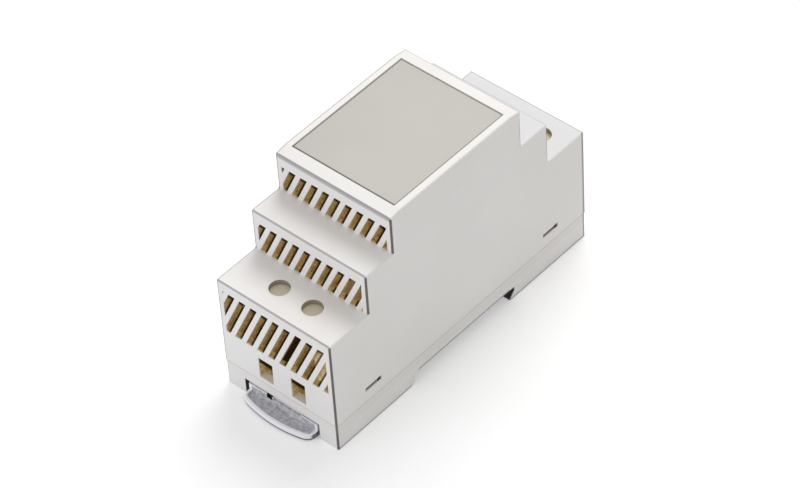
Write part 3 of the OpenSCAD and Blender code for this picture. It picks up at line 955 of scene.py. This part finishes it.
@dataclass
class RailClip:
    """The sprung clip with its scooped pull tab. Sizes in millimetres.

    Attributes:
        flat_half: Half the width over which the tab's front bows, short of its round corners.
        block_end: The back of the wall behind the tab, whose face is at wall_y.
        hollows: The blocks cut from that wall.
        window_y: Reach of the spring's window.
        root_y: Where the keel ends and the nose starts.
    """

    tab_half: float = 10.8
    tab_front: float = -48.9
    tab_bow: float = 1.7
    corner: float = 2.0
    flat_half: float = 8.4
    foot_z: float = -3.2
    lip_z: float = -1.6
    lip_t: float = 0.9
    lip_r: float = 0.35
    scoop: float = 0.6
    wall_y: float = -44.7
    block_end: float = -41.5
    wall_z: float = 0.4
    hollows: tuple[tuple[str, Point, Point], ...] = (
        ("notch", (-5.0, -45.7, -0.6), (-3.4, -43.5, 1.4)),
        ("step", (-2.9, -45.7, 0.0), (5.7, -44.3, 1.4)),
        ("mark", (-6.65, -45.7, -1.45), (-5.75, -44.4, -0.55)),
    )
    mark_r: float = 0.4
    plate_half: float = 11.55
    plate_z: Pair = (-2.25, -0.75)
    slide_y: Pair = (-40.0, -19.8)
    slide_t: float = 1.2
    slide_top: float = 1.35
    window_half: float = 1.875
    window_y: Pair = (-33.11, -21.2)
    nose_half: float = 10.25
    nose_y: float = -15.3
    nose_z: float = -1.1
    nose_rise: float = 1.3
    root_y: float = -18.55
    root_l: float = 0.4
    peg_r: float = 0.7
    peg_l: float = 6.86
    peg_z: float = -0.375
    neck_half: float = 9.8
    edge_r: float = 0.12
    slide_r: float = 0.1
    finish: ClipPlastic = ClipPlastic()

    def bow_radius(self) -> float:
        """Gives the radius of the tab's front."""
        return (self.tab_half**2 + self.tab_bow**2) / (2 * self.tab_bow)

    def tab(self) -> Workpiece:
        """Models the pull tab: a bowed tray with a raised lip."""
        half, front, radius = self.tab_half, self.tab_front, self.bow_radius()
        tab = Workpiece.block("tab", (-half, front, self.foot_z), (half, self.wall_y + 2.4, self.lip_z))
        cuts = [self.flat_half * (k / 6 - 1) for k in range(13)]
        for x in cuts:
            tab.cut((x, 0.0, 0.0), (1.0, 0.0, 0.0))
        for x in sorted({abs(c) for c in cuts} | {half}):
            back = radius - math.sqrt(radius**2 - x**2)
            tab.edit(Pick.POINTS, lambda m, n: abs(abs(m.x) - x) < 0.01 and m.y < front + 0.01)
            tab.move((0.0, back, 0.0))
        tab.edit(Pick.EDGES, lambda m, d: abs(d.z) > 0.9 and abs(m.x) > half - 0.01 and m.y < self.wall_y)
        tab.bevel(self.corner, 6)
        tab.edit(Pick.FACES, lambda m, n: n.z > 0.9)
        tab.inset(self.lip_t - 0.1, 0.0)
        tab.inset(0.2, -self.lip_r)
        tab.inset(0.5, self.lip_r - self.scoop)
        tab.close()
        tab.edit(Pick.EDGES, lambda m, d: abs(d.z) < 0.1 and m.z > self.lip_z - 0.01 and self.at_skirt(m))
        tab.bevel(self.lip_r, 4)
        tab.tidy()
        return tab

    def at_skirt(self, m: Vector) -> bool:
        """Tells whether a place lies on the tab's outer wall."""
        radius = self.bow_radius()
        front = (m.x**2 + (m.y - self.tab_front - radius) ** 2) ** 0.5 > radius - 0.2
        corner = self.tab_half - abs(m.x) < 0.3 or self.corner_gap(m) < 0.25
        return (front or corner) and m.y < self.wall_y + 2.0

    def corner_gap(self, m: Vector) -> float:
        """Gives a place's distance from the round corner's arc."""
        x = abs(m.x) - (self.tab_half - self.corner)
        y = m.y - (self.tab_front + self.tab_bow + self.corner)
        return abs(math.hypot(x, y) - self.corner) if x > 0 and y < 0 else 9.0

    def front_block(self) -> Workpiece:
        """Models the wall behind the tab, with its notch, low step and pin mark."""
        low, high = (-self.tab_half, self.wall_y, self.foot_z), (self.tab_half, self.block_end, self.wall_z)
        block = Workpiece.block("clip", low, high).soften(self.edge_r, 2)
        for name, low, high in self.hollows:
            tool = Workpiece.block(name, low, high)
            if name == "mark":
                tool.edit(Pick.EDGES, lambda m, d: abs(d.y) > 0.9).bevel(self.mark_r, 5)
            block.combine(tool, "DIFFERENCE")
        return block

    def nose(self) -> Workpiece:
        """Models the keel and the nose that reaches under the rail."""
        start, root = self.window_y[1] + 0.05, self.root_y
        half, top, foot = self.nose_half, self.plate_z[1] - 0.04, self.foot_z + 0.01
        nose = Workpiece.block("nose", (-half, start, self.foot_z), (half, root, top))
        nose.edit(Pick.EDGES, lambda m, d: abs(d.x) > 0.9 and m.y < start + 0.01 and m.z < foot)
        nose.bevel(0.6, 3)
        nose.cut((0.0, 0.0, self.nose_z), (0.0, 0.0, 1.0))
        for reach in (self.root_l, self.nose_y - root - self.root_l):
            nose.edit(Pick.FACES, lambda m, n: n.y > 0.9 and m.z < self.nose_z).extrude((0.0, reach, 0.0))
        nose.edit(Pick.EDGES, lambda m, d: abs(d.x) > 0.9 and m.y > self.nose_y - 0.01 and m.z < foot)
        nose.move((0.0, 0.0, self.nose_rise))
        return nose.soften(self.edge_r, 2)

    def make(self) -> None:
        """Models the clip in one piece."""
        low, high = self.plate_z
        y0, y1 = self.slide_y
        clip = self.front_block()
        clip.combine(self.tab())
        neck = self.neck_half
        clip.combine(Workpiece.block("neck", (-neck, self.block_end - 0.2, low), (neck, y0 + 0.2, high)))
        half = self.plate_half
        plate = Workpiece.block("plate", (-half, y0, low), (half, y1, high)).soften(self.slide_r, 2)
        gap, (front, back) = self.window_half, self.window_y
        window = Workpiece.block("window", (-gap, front, low - 1.0), (gap, back, high + 1.0))
        plate.combine(window, "DIFFERENCE")
        clip.combine(plate)
        for side in (-1, 1):
            xs = sorted((side * (half - self.slide_t), side * half))
            foot, head = (xs[0], y0 + 0.1, low + 0.1), (xs[1], y1 - 0.1, self.slide_top)
            clip.combine(Workpiece.block("slide", foot, head).soften(self.slide_r, 2))
        clip.combine(self.nose())
        stop = gap + self.slide_t
        clip.combine(Workpiece.block("stop", (-stop, back, low + 0.2), (stop, y1 - 0.05, self.slide_top)))
        r, z = self.peg_r, self.peg_z
        peg = Workpiece.block("peg", (-r, back - self.peg_l, z - r), (r, back + 0.3, z + r))
        peg.edit(Pick.EDGES, lambda m, d: abs(d.y) > 0.9).bevel(r * 0.98, 6)
        clip.combine(peg)
        clip.finish(self.finish.build(), Body.CLIP, Slot.CLIP, "rail_clip")


@dataclass
class ReturnSpring:
    """The small coil spring that brings the clip back. Sizes in millimetres.

    Attributes:
        closed_pitch: Pitch of the closed turn at each end.
        left: The length that is left when the clip is drawn out.
        sides: Corners of the wire's section, with steps for the faces in one turn.
    """

    start_y: float = -31.63
    length: float = 10.4
    middle_z: float = -0.375
    coil_r: float = 1.35
    wire_r: float = 0.225
    turns: int = 9
    closed_pitch: float = 0.47
    left: float = 7.2
    sides: int = 12
    steps: int = 32
    finish: SpringSteel = SpringSteel()

    def make(self) -> None:
        """Winds the spring: open turns between one closed turn at each end."""
        run, closed = self.length - 2 * self.wire_r, self.closed_pitch
        pitch = (run - 2 * closed) / (self.turns - 2)
        stretches = ((0.0, 1, closed), (closed, self.turns - 2, pitch), (run - closed, 1, closed))
        made = [self.wind(*stretch) for stretch in stretches]
        bpy.ops.object.select_all(action="DESELECT")
        for piece in made:
            piece.select_set(True)
        bpy.context.view_layer.objects.active = made[0]
        bpy.ops.object.join()
        spring = Workpiece(made[0], "spring")
        spring.tidy()
        spring.edit(Pick.POINTS)
        bpy.ops.mesh.fill_holes(sides=0)
        bpy.ops.mesh.normals_make_consistent(inside=False)
        bpy.ops.mesh.select_all(action="SELECT")
        spring.move((0.0, self.start_y + self.wire_r, self.middle_z))
        piece = spring.finish(self.finish.build(), Body.HOUSING, Slot.STEEL, "clip_spring")
        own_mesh(piece)

    def wind(self, start: float, turns: int, rise: float) -> bpy.types.Object:
        """Winds some turns of one pitch round the Y axis.

        Args:
            start: Where the first turn starts.
            turns: How many turns.
            rise: Their pitch.

        Returns:
            The object, with open ends.
        """
        bpy.ops.object.select_all(action="DESELECT")
        place = (self.coil_r * MM, start * MM, 0.0)
        bpy.ops.mesh.primitive_circle_add(vertices=self.sides, radius=self.wire_r * MM, location=place)
        coil = bpy.context.object
        bpy.ops.object.transform_apply(location=True, rotation=True, scale=True)
        tool = coil.modifiers.new("wind", "SCREW")
        tool.axis = "Y"
        tool.screw_offset = rise * MM
        tool.iterations = turns
        tool.steps = self.steps
        tool.render_steps = self.steps
        bpy.ops.object.modifier_apply(modifier=tool.name)
        return coil


@dataclass(frozen=True)
class View:
    """A camera on a stand: what it looks at and from where."""

    target: Point = (2.53 * MM, -4.51 * MM, 23.0 * MM)
    azimuth: float = 44.1
    elevation: float = 44.89
    roll: float = 4.02
    distance: float = 857.3 * MM
    lens: float = 165.5
    sensor: float = 36.0

    def make(self) -> None:
        """Adds the camera and makes it the scene's."""
        az, el, roll = (math.radians(a) for a in (self.azimuth, self.elevation, self.roll))
        back = Vector((math.sin(az) * math.cos(el), -math.cos(az) * math.cos(el), math.sin(el)))
        right = Vector((math.cos(az), math.sin(az), 0.0))
        up = back.cross(right)
        cos, sin = math.cos(roll), math.sin(roll)
        turned = (right * cos - up * sin, up * cos + right * sin)
        data = bpy.data.cameras.new("camera")
        data.lens = self.lens
        data.sensor_width = self.sensor
        data.clip_start = 0.01
        data.clip_end = 50.0
        camera = bpy.data.objects.new("camera", data)
        turn = Matrix((*turned, back)).transposed().to_4x4()
        camera.matrix_world = Matrix.Translation(Vector(self.target) + back * self.distance) @ turn
        bpy.context.scene.collection.objects.link(camera)
        bpy.context.scene.camera = camera
        log.info("camera placed")


@dataclass(frozen=True)
class Lamp:
    """A round soft lamp: its place and size in metres, power in watts and colour."""

    name: str
    place: Point
    size: float
    power: float
    colour: Colour


def seen_rays(nodes: Nodes) -> Value:
    """Writes the mask of the rays that show a thing itself, straight or by gloss."""
    rays = nodes.node("ShaderNodeLightPath").outputs
    return nodes.either(rays["Is Camera Ray"], rays["Is Glossy Ray"], rays["Is Transmission Ray"])


@dataclass
class Studio:
    """Floor, lamps and surroundings. Sizes in metres."""

    floor_size: float = 6.0
    world: float = 0.56
    floor_colour: Colour = linear(232, 232, 232)
    floor_glow: float = 0.3
    aim: Point = (0.0, 0.0, 0.02)
    lamps: tuple[Lamp, ...] = (
        Lamp("key", (-0.18, 0.465, 0.825), 0.6, 4.05, linear(255, 254, 252)),
        Lamp("fill", (-0.22, -0.58, 0.18), 0.5, 0.76, linear(236, 241, 255)),
    )

    def surroundings(self) -> None:
        """Lights all round, with white behind the object."""
        world = bpy.data.worlds.new("surroundings")
        bpy.context.scene.world = world
        nodes = Nodes(world)
        shine = nodes.tree.nodes["Background"].inputs
        nodes.put(shine["Color"], (1.0, 1.0, 1.0))
        strength = nodes.math("MULTIPLY_ADD", seen_rays(nodes), 1.0 - self.world, self.world)
        nodes.put(shine["Strength"], strength)

    def floor(self) -> None:
        """Adds the pale floor that the feet stand on, which keeps their shadow."""
        bpy.ops.object.select_all(action="DESELECT")
        bpy.ops.mesh.primitive_plane_add(size=self.floor_size, location=(0.0, 0.0, 0.0))
        floor = bpy.context.object
        floor.name = "floor"
        floor.data.transform(Matrix.Translation((0.0, 0.0, SIZES.feet_z)))
        g = Graph("floor_card")
        g.surface({"Base Color": self.floor_colour, "Roughness": 0.9, "Specular IOR Level": 0.0})
        glow = g.node("ShaderNodeEmission")
        g.put(glow.inputs["Strength"], g.both(seen_rays(g), self.floor_glow))
        both = g.node("ShaderNodeAddShader")
        g.put(both.inputs[0], g.shader.outputs[0])
        g.put(both.inputs[1], glow.outputs[0])
        g.put(g.tree.nodes["Material Output"].inputs["Surface"], both.outputs[0])
        dress(floor, g.material)

    def light(self) -> None:
        """Adds the lamps, each turned to the middle of the housing."""
        for lamp in self.lamps:
            data = bpy.data.lights.new(lamp.name, "AREA")
            data.shape = "DISK"
            data.size = lamp.size
            data.energy = lamp.power
            data.color = lamp.colour
            made = bpy.data.objects.new(lamp.name, data)
            made.location = lamp.place
            way = Vector(self.aim) - Vector(lamp.place)
            made.rotation_euler = way.to_track_quat("-Z", "Y").to_euler()
            bpy.context.scene.collection.objects.link(made)

    def make(self) -> None:
        """Builds the studio."""
        self.surroundings()
        self.floor()
        self.light()
        bpy.context.scene.view_settings.view_transform = "Standard"
        log.info("studio ready")


def main() -> None:
    """Dresses each sub-assembly and sets up the studio."""
    logging.basicConfig(level=logging.INFO, format="%(name)s: %(message)s")
    for part in (Housing(), FrontPanel(), RailClip(), ReturnSpring()):
        part.make()
    Studio().make()
    View().make()


if __name__ == "__main__":
    main()
